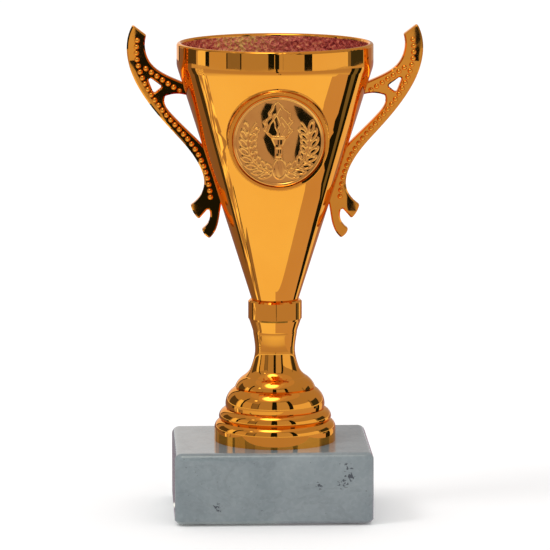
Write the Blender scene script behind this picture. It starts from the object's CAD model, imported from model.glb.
import math

import bpy
import numpy as np
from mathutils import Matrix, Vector


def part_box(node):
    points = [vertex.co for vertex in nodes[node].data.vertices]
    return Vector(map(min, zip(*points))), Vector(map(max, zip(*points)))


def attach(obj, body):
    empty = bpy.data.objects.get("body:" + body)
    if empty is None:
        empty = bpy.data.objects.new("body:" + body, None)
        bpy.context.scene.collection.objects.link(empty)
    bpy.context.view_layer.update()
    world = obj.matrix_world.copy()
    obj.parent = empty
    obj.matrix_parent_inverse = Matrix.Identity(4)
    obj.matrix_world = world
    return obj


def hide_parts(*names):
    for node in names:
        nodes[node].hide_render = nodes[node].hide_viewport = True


# The looks of a small award cup. Metres, in the frame's own axes: +Z up, the medallion faces -Y.

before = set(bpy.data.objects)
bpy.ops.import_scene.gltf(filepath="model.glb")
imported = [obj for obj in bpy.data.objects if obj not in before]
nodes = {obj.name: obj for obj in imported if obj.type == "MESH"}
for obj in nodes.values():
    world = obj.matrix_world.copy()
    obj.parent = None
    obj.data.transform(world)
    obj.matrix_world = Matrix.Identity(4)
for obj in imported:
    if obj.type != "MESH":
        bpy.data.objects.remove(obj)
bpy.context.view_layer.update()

# Places that follow from the frame
CUP_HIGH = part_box("cup_shell")[1]
DISC_LOW, DISC_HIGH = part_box("centre_disc")
AIM = Vector((0.0, 0.0, 0.0658))

# Camera, lights and surroundings; the turn is in degrees, the lens and the sensor in millimetres
CAMERA_REACH = 1.25
CAMERA_HEIGHT = 0.254
CAMERA_TURN = -2.3
CAMERA_LENS = 301.0
SENSOR_WIDTH = 36.0
SUN_STRENGTH = 0.55
SUN_DIRECTION = (0.75, 0.35, -1.0)
SUN_SPREAD = math.radians(16.0)
SKY_STRENGTH = 0.97
FLOOR_SIZE = 9.0
ROOM_RADIUS = 0.78
ROOM_GAP = 0.06
ROOM_FOOT = 0.0457
ROOM_HEIGHT = 1.25
CEILING_RADIUS = 0.95
FRAME_TOP = 0.93
FRAME_BAR = 0.05
HORN_CARD_TOP = 0.075
HORN_CARD_GAP = 0.004

# Floor cards lie one over another, each at its own level
SHEEN_LEVEL = 0.0002
SHADE_LEVEL = 0.0003
LOW_LEVEL = 0.0004
MIDDLE_LEVEL = 0.0005
TOP_LEVEL = 0.0006

# The place on the floor that the medallion's middle mirrors, and how far it moves for each millimetre
DISC_MIRROR_MIDDLE = (0.0148, -0.3696)
DISC_MIRROR_SCALE = (0.00129, -0.0043)

# Card colours
DARK = (0.012, 0.016, 0.018)
BROWN = (0.68, 0.56, 0.62)
GREY_BROWN = (0.2, 0.215, 0.23)
DUSK = (0.27, 0.205, 0.235)
CREAM = (0.95, 0.88, 0.84)

# The pressed centre, with the CAD's own radius, thickness and tilt
DISC_RADIUS = 0.0125
DISC_BODY = 0.0008
DISC_TILT = math.radians(5.0)
DISC_RELIEF = 0.00045
DISC_RINGS = 168
DISC_TURNS = 540

# Its face and drawing, in millimetres and degrees.
# A leaf row is its leaves' distance from the stalk's ring, their lean and their half length.
FIRST_RING_RADIUS = 0.05
FACE_RADIUS = 12.35
LAST_RING_RADIUS = 12.46
ROLL_RADIUS = 12.0
ROLL_WIDTH = 0.42
ROLL_FOOT_RADIUS = 11.2
ROLL_FOOT_WIDTH = 0.35
LAUREL_DROP = 0.4
LEAF_PAIRS = 8
LEAF_START = -68
LEAF_STEP = 13.5
LEAF_HALF_WIDTH = 0.72
LEAF_OUTLINE = 0.84
LEAF_LINE = 0.23
LEAF_ROWS = ((1.35, 38, 1.7), (-1.25, -30, 1.4))
LEAF_RING_RADIUS = 8.3
LEAF_RING_SWAY = 0.2
STALK_RADIUS = 8.25
STALK_LINE = 0.24
STALK_INNER_END = 2.2
STALK_FOOT = -9.0
STALK_TIP = 5.2
TORCH_FOOT = -5.0
TORCH_TOP = 1.5
GRIP_MIDDLE = (0.25, -7.5)
GRIP_HALF = (1.9, 2.9)

# The cup's wall as a radius over the height; the inside starts just outside its inner face
WALL_SLOPE = 0.31685
THROAT_RADIUS = 0.0064
THROAT_HEIGHT = 0.0591
WALL_OUTER = THROAT_RADIUS - WALL_SLOPE * THROAT_HEIGHT
INSIDE_DEPTH = 0.00135
WALL_START = WALL_OUTER - INSIDE_DEPTH
WALL_BAND = CUP_HIGH[0] - INSIDE_DEPTH
LIP_DEPTH = 0.0007

# The lightest place inside the cup, at the back just under the lip, and how the wall darkens away from it
LIT_PLACE = (-0.009, 0.024, 0.131)
GLOW_REACH = 0.04
DIMMING = -5.0
DIMMING_LIMIT = -0.32

# Dark specks in the marble: place and reach, on the block's front
SPECK_PATCHES = [
    ((0.0190, -0.0225, 0.0160), 0.0026),
    ((0.0178, -0.0225, 0.0118), 0.0030),
    ((0.0196, -0.0225, 0.0136), 0.0030),
    ((0.0112, -0.0225, 0.0108), 0.0020),
    ((-0.0165, -0.0225, 0.0055), 0.0022),
]


# --- Node helpers ---
def new_material(name):
    """Material with a Principled shader, and the tools to add nodes to it."""
    material = bpy.data.materials.new(name)
    material.use_nodes = True
    tree = material.node_tree
    return material, tree, tree.nodes["Principled BSDF"]


def add_node(tree, kind, **settings):
    """Add a node; settings that name an input set its value, others set an attribute."""
    node = tree.nodes.new(kind)
    for name, value in settings.items():
        if name in node.inputs:
            node.inputs[name].default_value = value
        else:
            setattr(node, name, value)
    return node


def ramp(tree, source, stops):
    """Colour ramp over a value; stops are (place, colour or grey)."""
    node = tree.nodes.new("ShaderNodeValToRGB")
    elements = node.color_ramp.elements
    while len(elements) < len(stops):
        elements.new(0.5)
    for element, (place, colour) in zip(elements, stops):
        element.position = place
        element.color = (*colour, 1.0) if isinstance(colour, tuple) else (colour, colour, colour, 1.0)
    tree.links.new(source, node.inputs["Fac"])
    return node.outputs["Color"]


def object_noise(tree, scale, detail, roughness=0.5, distortion=0.0):
    """Noise in the piece's own metres."""
    place = add_node(tree, "ShaderNodeTexCoord")
    settings = {"Scale": scale, "Detail": detail, "Roughness": roughness, "Distortion": distortion}
    noise = add_node(tree, "ShaderNodeTexNoise", **settings)
    tree.links.new(place.outputs["Object"], noise.inputs["Vector"])
    return noise.outputs["Fac"]


def add_bump(tree, shader, height, strength, distance, normal=None):
    """Bump on the shader's normal, over an earlier bump where one is given."""
    bump = add_node(tree, "ShaderNodeBump", Strength=strength, Distance=distance)
    tree.links.new(height, bump.inputs["Height"])
    if normal is not None:
        tree.links.new(normal, bump.inputs["Normal"])
    tree.links.new(bump.outputs["Normal"], shader.inputs["Normal"])


def maths(tree, operation, first, second=None):
    """Math node over sockets or numbers."""
    node = add_node(tree, "ShaderNodeMath", operation=operation)
    for socket, value in zip(node.inputs, (first, second)):
        if value is None:
            continue
        if isinstance(value, (int, float)):
            socket.default_value = value
        else:
            tree.links.new(value, socket)
    return node.outputs["Value"]


def mix_colours(tree, factor, first, second):
    """Blend two colours by a mask."""
    node = add_node(tree, "ShaderNodeMix", data_type="RGBA")
    tree.links.new(factor, node.inputs["Factor"])
    for name, value in (("A", first), ("B", second)):
        socket = [entry for entry in node.inputs if entry.name == name and entry.type == "RGBA"][0]
        if isinstance(value, tuple):
            socket.default_value = (*value, 1.0)
        else:
            tree.links.new(value, socket)
    return [entry for entry in node.outputs if entry.type == "RGBA"][0]


def distance_from(tree, place, spot):
    """Distance of a texture place from a spot, in metres."""
    node = add_node(tree, "ShaderNodeVectorMath", operation="DISTANCE")
    tree.links.new(place.outputs["Object"], node.inputs[0])
    node.inputs[1].default_value = spot
    return node.outputs["Value"]


# --- Materials ---
def lacquered_metal(name):
    """Vacuum-metallised plastic under orange lacquer: a mirror with slight flow waves and handling marks."""
    colour = (0.87, 0.375, 0.04)
    wave_height = 0.00002
    material, tree, shader = new_material(name)
    shader.inputs["Metallic"].default_value = 1.0
    shader.inputs["Specular Tint"].default_value = (1.0, 0.74, 0.5, 1.0)
    shader.inputs["Coat Weight"].default_value = 0.2
    shader.inputs["Coat Roughness"].default_value = 0.03
    shader.inputs["Coat IOR"].default_value = 1.45
    deeper = tuple(part * factor for part, factor in zip(colour, (0.97, 0.92, 0.85)))
    shade = ramp(tree, object_noise(tree, 45.0, 4.0), [(0.35, deeper), (0.65, colour)])
    tree.links.new(shade, shader.inputs["Base Color"])
    marks = ramp(tree, object_noise(tree, 260.0, 6.0, 0.6, 0.4), [(0.45, 0.008), (0.8, 0.035)])
    tree.links.new(marks, shader.inputs["Roughness"])
    add_bump(tree, shader, object_noise(tree, 70.0, 2.0), 0.5, wave_height)
    return material


def inside_mask(tree, place):
    """1 on the cup's inner wall below the lip, 0 elsewhere."""
    parts = add_node(tree, "ShaderNodeSeparateXYZ")
    tree.links.new(place.outputs["Object"], parts.inputs[0])
    across_squared = maths(tree, "MULTIPLY", parts.outputs["X"], parts.outputs["X"])
    along_squared = maths(tree, "MULTIPLY", parts.outputs["Y"], parts.outputs["Y"])
    radius = maths(tree, "SQRT", maths(tree, "ADD", across_squared, along_squared))
    # Just outside the inner face: a cone below the band, a cylinder within it
    cone = maths(tree, "ADD", maths(tree, "MULTIPLY", parts.outputs["Z"], WALL_SLOPE), WALL_START)
    border = maths(tree, "MINIMUM", cone, WALL_BAND)
    below_lip = maths(tree, "LESS_THAN", parts.outputs["Z"], CUP_HIGH[2] - LIP_DEPTH)
    return maths(tree, "MULTIPLY", maths(tree, "LESS_THAN", radius, border), below_lip)


def cup_material():
    """The same lacquer outside; inside the cup it is redder and finely crackled."""
    material = lacquered_metal("bronze_lacquer_cup")
    tree = material.node_tree
    shader = tree.nodes["Principled BSDF"]
    outside_colour = shader.inputs["Base Color"].links[0].from_socket
    outside_marks = shader.inputs["Roughness"].links[0].from_socket
    place = add_node(tree, "ShaderNodeTexCoord")
    inside = inside_mask(tree, place)
    flakes = add_node(tree, "ShaderNodeTexVoronoi", Scale=750.0, Randomness=1.0)
    tree.links.new(place.outputs["Object"], flakes.inputs["Vector"])
    grain = object_noise(tree, 1100.0, 4.0, 0.62, 0.8)
    # The wall is golden near the lit place and a darker red away from it
    away = distance_from(tree, place, LIT_PLACE)
    glow = ramp(tree, maths(tree, "DIVIDE", away, GLOW_REACH), [(0.0, 0.14), (0.3, 0.0), (1.0, -0.07)])
    dimming = maths(tree, "MAXIMUM", maths(tree, "MULTIPLY", away, DIMMING), DIMMING_LIMIT)
    lightness = maths(tree, "ADD", maths(tree, "ADD", grain, dimming), glow)
    crackled = ramp(
        tree,
        lightness,
        [
            (0.1, (0.05, 0.008, 0.008)),
            (0.3, (0.4, 0.05, 0.05)),
            (0.42, (0.75, 0.17, 0.12)),
            (0.55, (0.95, 0.34, 0.17)),
            (0.64, (1.0, 0.64, 0.17)),
        ],
    )
    tree.links.new(mix_colours(tree, inside, outside_colour, crackled), shader.inputs["Base Color"])
    rougher = ramp(tree, flakes.outputs["Distance"], [(0.0, 0.08), (1.0, 0.2)])
    tree.links.new(mix_colours(tree, inside, outside_marks, rougher), shader.inputs["Roughness"])
    metal = maths(tree, "SUBTRACT", 1.0, maths(tree, "MULTIPLY", inside, 0.5))
    tree.links.new(metal, shader.inputs["Metallic"])
    crackle = maths(tree, "ADD", flakes.outputs["Distance"], maths(tree, "MULTIPLY", grain, 0.8))
    waves = shader.inputs["Normal"].links[0].from_socket
    add_bump(tree, shader, maths(tree, "MULTIPLY", inside, crackle), 1.0, 0.00035, waves)
    return material


def disc_material():
    """Pressed and anodised sheet: a mirror with faint mottling and fine marks."""
    material, tree, shader = new_material("pressed_disc_bronze")
    shader.inputs["Metallic"].default_value = 1.0
    mottling = object_noise(tree, 220.0, 5.0)
    shade = ramp(tree, mottling, [(0.3, (0.74, 0.35, 0.08)), (0.7, (0.84, 0.42, 0.095))])
    tree.links.new(shade, shader.inputs["Base Color"])
    marks = ramp(tree, object_noise(tree, 600.0, 6.0, 0.6), [(0.4, 0.01), (0.8, 0.03)])
    tree.links.new(marks, shader.inputs["Roughness"])
    add_bump(tree, shader, object_noise(tree, 160.0, 2.0), 0.2, 0.000003)
    return material


def marble_clouds(tree, place):
    """Cloudy body, darker towards the right and the bottom."""
    clouds = ramp(
        tree,
        object_noise(tree, 42.0, 6.0, 0.52, 0.6),
        [
            (0.28, (0.155, 0.19, 0.2)),
            (0.45, (0.2, 0.237, 0.246)),
            (0.6, (0.232, 0.27, 0.278)),
            (0.78, (0.3, 0.335, 0.338)),
        ],
    )
    across = add_node(tree, "ShaderNodeSeparateXYZ")
    tree.links.new(place.outputs["Object"], across.inputs[0])
    rightwards = maths(tree, "MULTIPLY", across.outputs["X"], 2.6)
    downwards = maths(tree, "MULTIPLY", across.outputs["Z"], -4.0)
    depth = maths(tree, "ADD", maths(tree, "ADD", rightwards, downwards), 0.12)
    return mix_colours(tree, maths(tree, "MAXIMUM", depth, 0.0), clouds, (0.08, 0.1, 0.12))


def speck_mask(tree, place):
    """Fine mineral specks, thick in a few patches and sparse elsewhere."""
    settings = {"Scale": 1300.0, "Detail": 3.0, "Roughness": 0.6, "Distortion": 0.4}
    speck_noise = add_node(tree, "ShaderNodeTexNoise", **settings)
    tree.links.new(place.outputs["Object"], speck_noise.inputs["Vector"])
    patches = None
    for spot, reach in SPECK_PATCHES:
        share = maths(tree, "DIVIDE", distance_from(tree, place, spot), reach)
        near = maths(tree, "MAXIMUM", maths(tree, "SUBTRACT", 1.0, share), 0.0)
        patches = near if patches is None else maths(tree, "MAXIMUM", patches, near)
    speckle = maths(tree, "ADD", speck_noise.outputs["Fac"], maths(tree, "MULTIPLY", patches, 0.25))
    return ramp(tree, speckle, [(0.69, 0.0), (0.76, 0.85)])


def marble_material():
    """Polished grey-green marble: cloudy body, faint veins, and a few dark mineral specks."""
    material, tree, shader = new_material("marble_polished")
    place = add_node(tree, "ShaderNodeTexCoord")
    clouds = marble_clouds(tree, place)
    # Veins: thin dark lines where a stretched noise crosses its middle value
    stretch = add_node(tree, "ShaderNodeMapping")
    stretch.inputs["Rotation"].default_value = (0.3, 0.9, 0.5)
    stretch.inputs["Scale"].default_value = (1.0, 0.55, 2.2)
    tree.links.new(place.outputs["Object"], stretch.inputs["Vector"])
    vein_noise = add_node(tree, "ShaderNodeTexNoise", Scale=38.0, Detail=6.0, Roughness=0.6, Distortion=0.7)
    tree.links.new(stretch.outputs["Vector"], vein_noise.inputs["Vector"])
    vein = ramp(tree, vein_noise.outputs["Fac"], [(0.47, 0.0), (0.5, 1.0), (0.515, 0.0)])
    veined = mix_colours(tree, maths(tree, "MULTIPLY", vein, 0.22), clouds, (0.12, 0.14, 0.15))
    # Crystal grain
    grains = add_node(tree, "ShaderNodeTexVoronoi", Scale=1100.0, Randomness=1.0)
    tree.links.new(place.outputs["Object"], grains.inputs["Vector"])
    grain_light = ramp(tree, grains.outputs["Color"], [(0.2, 0.0), (0.9, 0.06)])
    grained = mix_colours(tree, grain_light, veined, (0.6, 0.63, 0.62))
    specks = speck_mask(tree, place)
    tree.links.new(mix_colours(tree, specks, grained, (0.03, 0.035, 0.045)), shader.inputs["Base Color"])
    polish = ramp(tree, object_noise(tree, 300.0, 5.0), [(0.35, 0.07), (0.75, 0.2)])
    tree.links.new(polish, shader.inputs["Roughness"])
    add_bump(tree, shader, object_noise(tree, 900.0, 4.0), 0.25, 0.00001)
    return material


def plain_finish(name, colour, roughness, metallic=0.0, grain=400.0):
    """Even finish with a fine grain in its colour and surface."""
    depth = 0.00003
    material, tree, shader = new_material(name)
    shader.inputs["Metallic"].default_value = metallic
    darker = tuple(part * 0.75 for part in colour)
    noise = object_noise(tree, grain, 5.0, 0.6)
    tree.links.new(ramp(tree, noise, [(0.3, darker), (0.7, colour)]), shader.inputs["Base Color"])
    rough = ramp(tree, noise, [(0.3, roughness * 0.8), (0.7, min(1.0, roughness * 1.2))])
    tree.links.new(rough, shader.inputs["Roughness"])
    add_bump(tree, shader, noise, 0.5, depth)
    return material


def paint(node_name, material):
    """Give a CAD node its material."""
    mesh = nodes[node_name].data
    mesh.materials.clear()
    mesh.materials.append(material)


bronze = lacquered_metal("bronze_lacquer_mirror")
for name in ("stem_foot", "handle_right", "handle_left"):
    paint(name, bronze)
paint("cup_shell", cup_material())
paint("marble_base", marble_material())
paint("base_pads", plain_finish("felt_dark", (0.03, 0.03, 0.033), 0.95, grain=1500.0))
paint("disc_adhesive", plain_finish("foam_dark", (0.04, 0.04, 0.04), 0.9))
steel = plain_finish("zinc_steel_dull", (0.62, 0.63, 0.64), 0.35, metallic=1.0)
for name in ("tie_rod", "cup_washer", "cup_nut", "base_washer", "base_nut"):
    paint(name, steel)


# --- The pressed centre: a fine mesh with a rolled edge, a flame over a torch and two laurel sprays ---
# Heights are shares of the disc's relief. u (to the right) and v (up) are millimetres from its middle.
def bump_line(distance, width):
    """Rounded ridge over a distance."""
    return np.exp(-((distance / width) ** 2))


def thin_ridge(distance, width):
    """Ridge that ends in flat ground at its width."""
    return np.clip(1.0 - (distance / width) ** 2, 0.0, 1.0) ** 2


def leaf_height(u, v, side, angle, stalk, row):
    """One outlined leaf beside a stalk."""
    offset, lean, half_length = row
    reach = stalk + offset
    leaf_u = side * reach * math.cos(angle)
    leaf_v = reach * math.sin(angle) - LAUREL_DROP
    heading = math.radians(90 - lean) + angle
    tip_u = side * math.cos(heading)
    tip_v = math.sin(heading)
    lengthwise = (u - leaf_u) * tip_u + (v - leaf_v) * tip_v
    crosswise = -(u - leaf_u) * tip_v + (v - leaf_v) * tip_u
    shape = np.hypot(lengthwise / half_length, crosswise / LEAF_HALF_WIDTH)
    return 0.42 * thin_ridge((shape - LEAF_OUTLINE) * LEAF_HALF_WIDTH, LEAF_LINE)


def laurel_height(u, v):
    """Two sprays: on each side a curved stalk with eight pairs of leaves."""
    height = np.zeros_like(u)
    for side in (-1, 1):
        for leaf in range(LEAF_PAIRS):
            angle = math.radians(LEAF_START + LEAF_STEP * leaf)
            stalk = LEAF_RING_RADIUS + LEAF_RING_SWAY * math.sin(leaf)
            for row in LEAF_ROWS:
                height = np.maximum(height, leaf_height(u, v, side, angle, stalk, row))
        ring = np.hypot(u, v + LAUREL_DROP)
        on_stalk = (side * u > STALK_INNER_END) & (v > STALK_FOOT) & (v < STALK_TIP)
        line = 0.4 * thin_ridge(ring - STALK_RADIUS, STALK_LINE)
        height = np.maximum(height, np.where(on_stalk, line, 0.0))
    return height


def flame_height(u, v):
    """Nested teardrops with scalloped edges, each drawn by a ridge over a shallow swell."""
    height = np.full_like(u, -1.0)
    # Each tongue: its middle, lowest and highest point, half width, and where its scallops start
    for middle, low, high, wide, phase in (
        (0.0, 0.4, 10.8, 3.7, 0.0),
        (-1.5, 0.8, 7.6, 1.5, 1.7),
        (1.5, 0.8, 6.8, 1.4, 3.1),
        (0.2, 1.6, 9.2, 1.3, 4.4),
    ):
        share = np.clip((v - low) / (high - low), 0.0, 1.0)
        sway = middle * (1.0 - 0.4 * share) + 0.3 * np.sin(1.1 * v + phase)
        half = wide * np.sin(math.pi * share**0.7) ** 0.75 * (1.0 + 0.1 * np.sin(2.6 * v + phase))
        shape = np.abs(u - sway) / np.maximum(half, 0.05)
        within = (v > low) & (v < high)
        swell = np.clip((1.05 - shape) / 0.3, 0.0, 1.0) * 0.3
        ridge = 0.5 * thin_ridge((shape - 0.92) * np.maximum(half, 0.05), 0.27)
        height = np.maximum(height, np.where(within, np.maximum(swell, ridge), -1.0))
    return height


def torch_height(u, v):
    """Flared cup on a banded column, from its half widths at five heights."""
    half = np.interp(v, [TORCH_FOOT, -3.6, -1.4, 0.6, TORCH_TOP], [1.05, 0.95, 1.0, 1.9, 2.3])
    column = np.clip((half - np.abs(u)) / 0.3, 0.0, 1.0) * ((v > TORCH_FOOT) & (v < TORCH_TOP))
    round_off = np.sqrt(np.clip(1.0 - (u / 3.2) ** 2, 0.0, 1.0))
    bands = bump_line(v + 1.5, 0.28) + bump_line(v + 3.9, 0.28) + bump_line(v - 1.2, 0.3)
    return column * (0.5 * round_off + 0.45 * np.clip(bands, 0.0, 1.0))


def grip_height(u, v):
    """Rounded and grooved grip under the torch, with an outline."""
    grip = np.hypot((u - GRIP_MIDDLE[0]) / GRIP_HALF[0], (v - GRIP_MIDDLE[1]) / GRIP_HALF[1])
    grooves = 0.12 * np.sin(3.6 * u + 0.6 * v)
    body = np.sqrt(np.clip(1.0 - grip**2, 0.0, 1.0)) * (0.35 + grooves)
    return np.maximum(body, 0.45 * thin_ridge((grip - 0.92) * 2.2, 0.3))


def disc_height(u, v):
    """Height of the disc's face: flat ground, a rolled edge with a sharpened inner foot, and the drawing."""
    radius = np.hypot(u, v)
    height = 0.75 * bump_line(radius - ROLL_RADIUS, ROLL_WIDTH)
    height = height - 0.25 * bump_line(radius - ROLL_FOOT_RADIUS, ROLL_FOOT_WIDTH)
    for drawing in (laurel_height, flame_height, torch_height, grip_height):
        height = np.maximum(height, drawing(u, v))
    return np.minimum(height, 1.0)


def make_disc():
    """Closed mesh of the pressed centre, in place of the CAD's plainer one."""
    turns = DISC_TURNS
    half_body = DISC_BODY / 2
    middle_y = DISC_HIGH[1] - DISC_RADIUS * math.sin(DISC_TILT) - half_body * math.cos(DISC_TILT)
    middle = Vector((0.0, middle_y, (DISC_LOW[2] + DISC_HIGH[2]) / 2))
    out = Vector((0.0, -math.cos(DISC_TILT), -math.sin(DISC_TILT)))
    up = Vector((0.0, -math.sin(DISC_TILT), math.cos(DISC_TILT)))
    radii = np.concatenate([np.linspace(FIRST_RING_RADIUS, FACE_RADIUS, DISC_RINGS), [LAST_RING_RADIUS]])
    angles = np.linspace(0.0, 2.0 * math.pi, turns, endpoint=False)
    # Face: a middle point, then rings of points
    top = disc_height(np.zeros(1), np.zeros(1))[0]
    verts = [middle + out * (half_body + DISC_RELIEF * top)]
    for radius in radii:
        u = radius * np.cos(angles)
        v = radius * np.sin(angles)
        lifts = disc_height(u, v) * DISC_RELIEF
        for right, rise, lift in zip(u, v, lifts):
            on_plane = middle + Vector((right / 1000, 0, 0)) + up * (rise / 1000)
            verts.append(on_plane + out * (half_body + lift))
    # Edge and back
    for depth in (half_body, -half_body):
        for angle in angles:
            rim = Vector((math.cos(angle), 0, 0)) + up * math.sin(angle)
            verts.append(middle + rim * DISC_RADIUS + out * depth)
    faces = [(0, 1 + step, 1 + (step + 1) % turns) for step in range(turns)]
    loops = len(radii) + 2
    for loop in range(loops - 1):
        low = 1 + loop * turns
        high = low + turns
        for step in range(turns):
            following = (step + 1) % turns
            faces.append((low + step, high + step, high + following, low + following))
    last = 1 + (loops - 1) * turns
    faces.append(tuple(last + step for step in reversed(range(turns))))
    mesh = bpy.data.meshes.new("pressed_centre")
    mesh.from_pydata([tuple(vert) for vert in verts], [], faces)
    mesh.validate()
    mesh.shade_smooth()
    thing = bpy.data.objects.new("pressed_centre", mesh)
    bpy.context.scene.collection.objects.link(thing)
    mesh.materials.append(disc_material())
    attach(thing, "root")
    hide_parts("centre_disc")


make_disc()


# --- Surroundings ---
def emission(name, colour, flecks=None):
    """Glow for a card, plain or flecked with a second colour."""
    material = bpy.data.materials.new(name)
    material.use_nodes = True
    tree = material.node_tree
    tree.nodes.clear()
    glow = add_node(tree, "ShaderNodeEmission", Strength=1.0)
    glow.inputs["Color"].default_value = (*colour, 1.0)
    if flecks:
        spots = ramp(tree, object_noise(tree, 70.0, 2.0, 0.5), [(0.48, colour), (0.62, flecks)])
        tree.links.new(spots, glow.inputs["Color"])
    out = tree.nodes.new("ShaderNodeOutputMaterial")
    tree.links.new(glow.outputs[0], out.inputs["Surface"])
    return material


def soft_emission(name, middle, reach, bright, dim):
    """Glow that falls off from the middle of a card."""
    material = emission(name, bright)
    tree = material.node_tree
    place = add_node(tree, "ShaderNodeTexCoord")
    share = maths(tree, "DIVIDE", distance_from(tree, place, middle), reach)
    glow = [node for node in tree.nodes if node.type == "EMISSION"][0]
    tree.links.new(ramp(tree, share, [(0.4, bright), (0.75, dim), (1.0, dim)]), glow.inputs["Color"])
    return material


def stage_mesh(name, verts, faces, material):
    """A floor or card that isn't part of the object."""
    mesh = bpy.data.meshes.new(name)
    mesh.from_pydata(verts, [], faces)
    mesh.materials.append(material)
    thing = bpy.data.objects.new(name, mesh)
    bpy.context.scene.collection.objects.link(thing)
    return thing


def only_in_reflections(card):
    """Hide a card from everything but glossy rays."""
    card.visible_camera = False
    card.visible_diffuse = False
    card.visible_shadow = False
    card.visible_transmission = False


def square_corners(half, height=0.0):
    """Corners of a level square around the cup's axis."""
    return [(-half, -half, height), (half, -half, height), (half, half, height), (-half, half, height)]


def wall_card(name, start, end, low, high, colour, radius=ROOM_RADIUS):
    """Upright curved card; start and end are degrees from -Y towards +X."""
    steps = max(2, round((end - start) / 4))
    verts, faces = [], []
    for step in range(steps + 1):
        angle = math.radians(start + (end - start) * step / steps)
        for height in (low, high):
            verts.append((radius * math.sin(angle), -radius * math.cos(angle), height))
    for step in range(steps):
        faces.append((2 * step, 2 * step + 2, 2 * step + 3, 2 * step + 1))
    only_in_reflections(stage_mesh(name, verts, faces, emission(name, colour)))


def level_card(name, points, colour, height, flecks=None):
    """Level card at a height, from points in metres."""
    verts = [(x, y, height) for x, y in points]
    face = tuple(range(len(verts)))
    only_in_reflections(stage_mesh(name, verts, [face], emission(name, colour, flecks)))


def floor_sector(name, start, end, near, far, colour, height, flecks):
    """Flat ring sector on the floor around the cup's axis; start and end are degrees from -Y towards +X."""
    steps = max(2, round((end - start) / 3))
    angles = [math.radians(start + (end - start) * step / steps) for step in range(steps + 1)]
    outer = [(far * math.sin(angle), -far * math.cos(angle)) for angle in angles]
    inner = [(near * math.sin(angle), -near * math.cos(angle)) for angle in reversed(angles)]
    level_card(name, outer + inner, colour, height, flecks)


def floor_sheen():
    """What mirrors see of the floor: bright from above, duller along it."""
    material = emission("floor_sheen", (1.0, 1.0, 1.0))
    tree = material.node_tree
    weight = add_node(tree, "ShaderNodeLayerWeight", Blend=0.5)
    tone = ramp(
        tree,
        weight.outputs["Facing"],
        [
            (0.5, (1.08, 1.08, 1.0)),
            (0.68, (0.6, 0.5, 0.54)),
            (0.84, (0.55, 0.46, 0.52)),
            (0.9, (0.68, 0.6, 0.62)),
        ],
    )
    glow = [node for node in tree.nodes if node.type == "EMISSION"][0]
    tree.links.new(tone, glow.inputs["Color"])
    corners = square_corners(ROOM_RADIUS * 2, SHEEN_LEVEL)
    only_in_reflections(stage_mesh("floor_sheen", corners, [(0, 1, 2, 3)], material))


def make_floor():
    """Large pale floor."""
    material, _, shader = new_material("floor_pale")
    shader.inputs["Base Color"].default_value = (0.96, 0.96, 0.96, 1.0)
    shader.inputs["Roughness"].default_value = 0.9
    stage_mesh("floor", square_corners(FLOOR_SIZE / 2), [(0, 1, 2, 3)], material)


make_floor()
floor_sheen()
# Room all round, with the dark bars of a light's frame, as the polished band and foot show them.
# Each card: start and end in degrees, low and high in metres, colour.
wall_card("room", -180, 180, ROOM_FOOT, ROOM_HEIGHT, (0.5, 0.43, 0.45), radius=ROOM_RADIUS + ROOM_GAP)
for number, (start, end, low, high, colour) in enumerate(
    [
        (-10, 2.5, ROOM_FOOT, FRAME_TOP, DARK),
        (31.5, 41, ROOM_FOOT, FRAME_TOP, DARK),
        (-10, 41, FRAME_TOP - FRAME_BAR, FRAME_TOP, DARK),
        (2.5, 31.5, ROOM_FOOT, FRAME_TOP - FRAME_BAR, (0.62, 0.56, 0.62)),
        (41, 91, ROOM_FOOT, 0.36, (0.95, 0.9, 0.9)),
        (91, 96, ROOM_FOOT, 0.5, (0.3, 0.27, 0.28)),
        (96, 122, ROOM_FOOT, 0.34, (0.05, 0.06, 0.068)),
        (-41, -10, ROOM_FOOT, 0.8, (0.52, 0.46, 0.5)),
        (-42.5, -41, ROOM_FOOT, 0.6, DARK),
        (-58.5, -42.5, ROOM_FOOT, 0.5, (0.3, 0.27, 0.32)),
        (-60, -58.5, ROOM_FOOT, 0.5, DARK),
        (-84, -60, ROOM_FOOT, 0.5, (0.66, 0.57, 0.55)),
        (-90, -84, ROOM_FOOT, 0.9, DARK),
        (-103, -90, ROOM_FOOT, 0.5, (1.1, 1.1, 1.0)),
        (-136, -106, ROOM_FOOT, 0.4, (0.1, 0.09, 0.1)),
        (-154, -150, ROOM_FOOT, 0.8, DARK),
        (-180, -154, ROOM_FOOT, 0.6, CREAM),
        (176.8, 180, ROOM_FOOT, 0.6, CREAM),
        (150, 176.8, ROOM_FOOT, 0.6, (0.5, 0.46, 0.45)),
    ]
):
    wall_card(f"wall_card_{number}", start, end, low, high, colour)
ceiling_angles = [math.radians(step) for step in range(0, 360, 15)]
level_card(
    "ceiling",
    [(CEILING_RADIUS * math.sin(angle), -CEILING_RADIUS * math.cos(angle)) for angle in ceiling_angles],
    (0.6, 0.49, 0.5),
    ROOM_HEIGHT,
)

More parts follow.
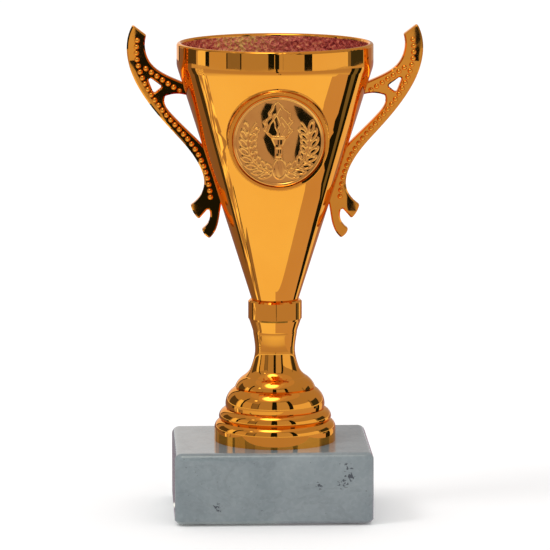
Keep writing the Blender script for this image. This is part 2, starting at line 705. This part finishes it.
# On the floor: the shade to the right, and the dark and dull stripes that run up the cup's flanks.
# Each sector: start and end in degrees, near and far in metres, colour, level and the flecks' colour.
level_card("floor_shade", [(0.0, -0.0715), (0.3, -0.058), (0.3, 0.2), (0.0, 0.2)], BROWN, SHADE_LEVEL)
for number, (start, end, near, far, colour, height, flecks) in enumerate(
    [
        (104.5, 120.5, 0.02, 0.185, DARK, TOP_LEVEL, None),
        (98.0, 104.5, 0.175, 0.7, DARK, TOP_LEVEL, None),
        (104.0, 113.0, 0.185, 0.7, GREY_BROWN, MIDDLE_LEVEL, None),
        (112.5, 120.0, 0.185, 0.7, DARK, TOP_LEVEL, None),
        (120.0, 136.0, 0.02, 0.78, (0.95, 0.93, 0.95), MIDDLE_LEVEL, None),
        (136.0, 178.0, 0.02, 1.4, (0.42, 0.3, 0.34), MIDDLE_LEVEL, None),
        (-94.0, -80.0, 0.02, 0.125, (0.36, 0.3, 0.34), LOW_LEVEL, None),
        (-93.5, -91.5, 0.08, 0.16, DARK, TOP_LEVEL, None),
        (-108.0, -94.0, 0.02, 0.7, (0.5, 0.42, 0.45), MIDDLE_LEVEL, (1.6, 1.6, 1.4)),
        (-117.0, -109.0, 0.14, 0.7, (0.06, 0.06, 0.07), TOP_LEVEL, None),
        (-178.0, -116.0, 0.02, 1.4, DUSK, MIDDLE_LEVEL, None),
        (-118.0, -108.0, 0.02, 0.15, DUSK, MIDDLE_LEVEL, None),
    ]
):
    floor_sector(f"floor_sector_{number}", start, end, near, far, colour, height, flecks)


def mirrored_in_disc(points):
    """Floor places that show at points of the medallion, given in millimetres from its middle."""
    middle_x, middle_y = DISC_MIRROR_MIDDLE
    scale_x, scale_y = DISC_MIRROR_SCALE
    return [(middle_x + scale_x * u, middle_y + scale_y * v) for u, v in points]


# Dark patches on the medallion, each point given where it shows
level_card(
    "floor_dark_right",
    mirrored_in_disc(
        [(5.5, 10.6), (7.6, 9.8), (10.2, 7.0), (11.8, 3.5), (12.2, 0.0), (11.8, -3.5), (10.2, -7.0),
         (7.0, -10.0), (4.4, -11.0), (3.7, -8.8), (3.7, -3.1), (5.5, 2.2), (6.9, 5.2), (5.9, 7.6)]
    ),
    DARK,
    MIDDLE_LEVEL,
)
level_card(
    "floor_dark_left",
    mirrored_in_disc(
        [(-3.9, 8.2), (-2.2, 11.2), (0.5, 11.0), (0.5, -4.6), (-1.3, -5.4), (-3.4, -2.2), (-4.1, 1.3),
         (-3.2, 2.6), (-3.9, 4.4)]
    ),
    DARK,
    MIDDLE_LEVEL,
)

# What the handles' flat faces show: dark floor far in front, and for the horns slim cards low on the wall
level_card(
    "floor_dark_handle",
    [(-0.037, -1.35), (-0.0255, -1.12), (-0.0215, -1.034), (-0.0125, -0.88), (-0.006, -0.747),
     (-0.0085, -0.62), (-0.011, -0.48), (0.018, -0.48), (0.018, -1.35)],
    DARK,
    MIDDLE_LEVEL,
)
level_card(
    "floor_dark_spine",
    [(0.0545, -0.615), (0.0578, -0.615), (0.0598, -0.7), (0.0572, -0.7)],
    DARK,
    MIDDLE_LEVEL,
)
horn_radius = ROOM_RADIUS - HORN_CARD_GAP
wall_card("wall_dark_horn", 6.86, 7.05, ROOM_FOOT, HORN_CARD_TOP, DARK, radius=horn_radius)
wall_card("wall_bright_horn", -3.0, -2.28, ROOM_FOOT, HORN_CARD_TOP, (0.75, 0.66, 0.66), radius=horn_radius)

# Soft lights high in front on the left, for yellow glints.
# Each light: its middle, half its side, and its bright and dim colour.
for number, (place, size, bright, dim) in enumerate(
    [
        ((-0.15, -0.38, 1.09), 0.44, (4.2, 4.1, 3.5), (0.7, 0.58, 0.57)),
        ((-0.6, -0.35, 0.75), 0.05, (3.0, 3.0, 3.0), (1.5, 1.5, 1.5)),
    ]
):
    middle = Vector(place)
    side = Vector((0.0, 0.0, 1.0)).cross(middle).normalized() * size
    rise = middle.cross(side).normalized() * size
    corners = [middle - side - rise, middle + side - rise, middle + side + rise, middle - side + rise]
    glow = soft_emission(f"glint_{number}", tuple(middle), size, bright, dim)
    only_in_reflections(stage_mesh(f"glint_{number}", corners, [(0, 1, 2, 3)], glow))

world = bpy.data.worlds.new("studio")
bpy.context.scene.world = world
world.use_nodes = True
background = world.node_tree.nodes["Background"]
background.inputs["Color"].default_value = (1.0, 1.0, 1.0, 1.0)
background.inputs["Strength"].default_value = SKY_STRENGTH

sun = bpy.data.lights.new("key", "SUN")
sun.energy = SUN_STRENGTH
sun.angle = SUN_SPREAD
key = bpy.data.objects.new("key", sun)
key.rotation_euler = Vector(SUN_DIRECTION).to_track_quat("-Z", "Y").to_euler()
key.visible_glossy = False
bpy.context.scene.collection.objects.link(key)


# --- Camera ---
camera_data = bpy.data.cameras.new("camera")
camera_data.lens = CAMERA_LENS
camera_data.sensor_width = SENSOR_WIDTH
camera_data.clip_start = 0.05
camera_data.clip_end = 20.0
camera = bpy.data.objects.new("camera", camera_data)
turn = math.radians(CAMERA_TURN)
camera.location = (CAMERA_REACH * math.sin(turn), -CAMERA_REACH * math.cos(turn), CAMERA_HEIGHT)
camera.rotation_euler = (AIM - camera.location).to_track_quat("-Z", "Y").to_euler()
bpy.context.scene.collection.objects.link(camera)
bpy.context.scene.camera = camera

scene = bpy.context.scene
scene.view_settings.view_transform = "Standard"
scene.cycles.max_bounces = 12
scene.cycles.glossy_bounces = 8
scene.cycles.use_denoising = True
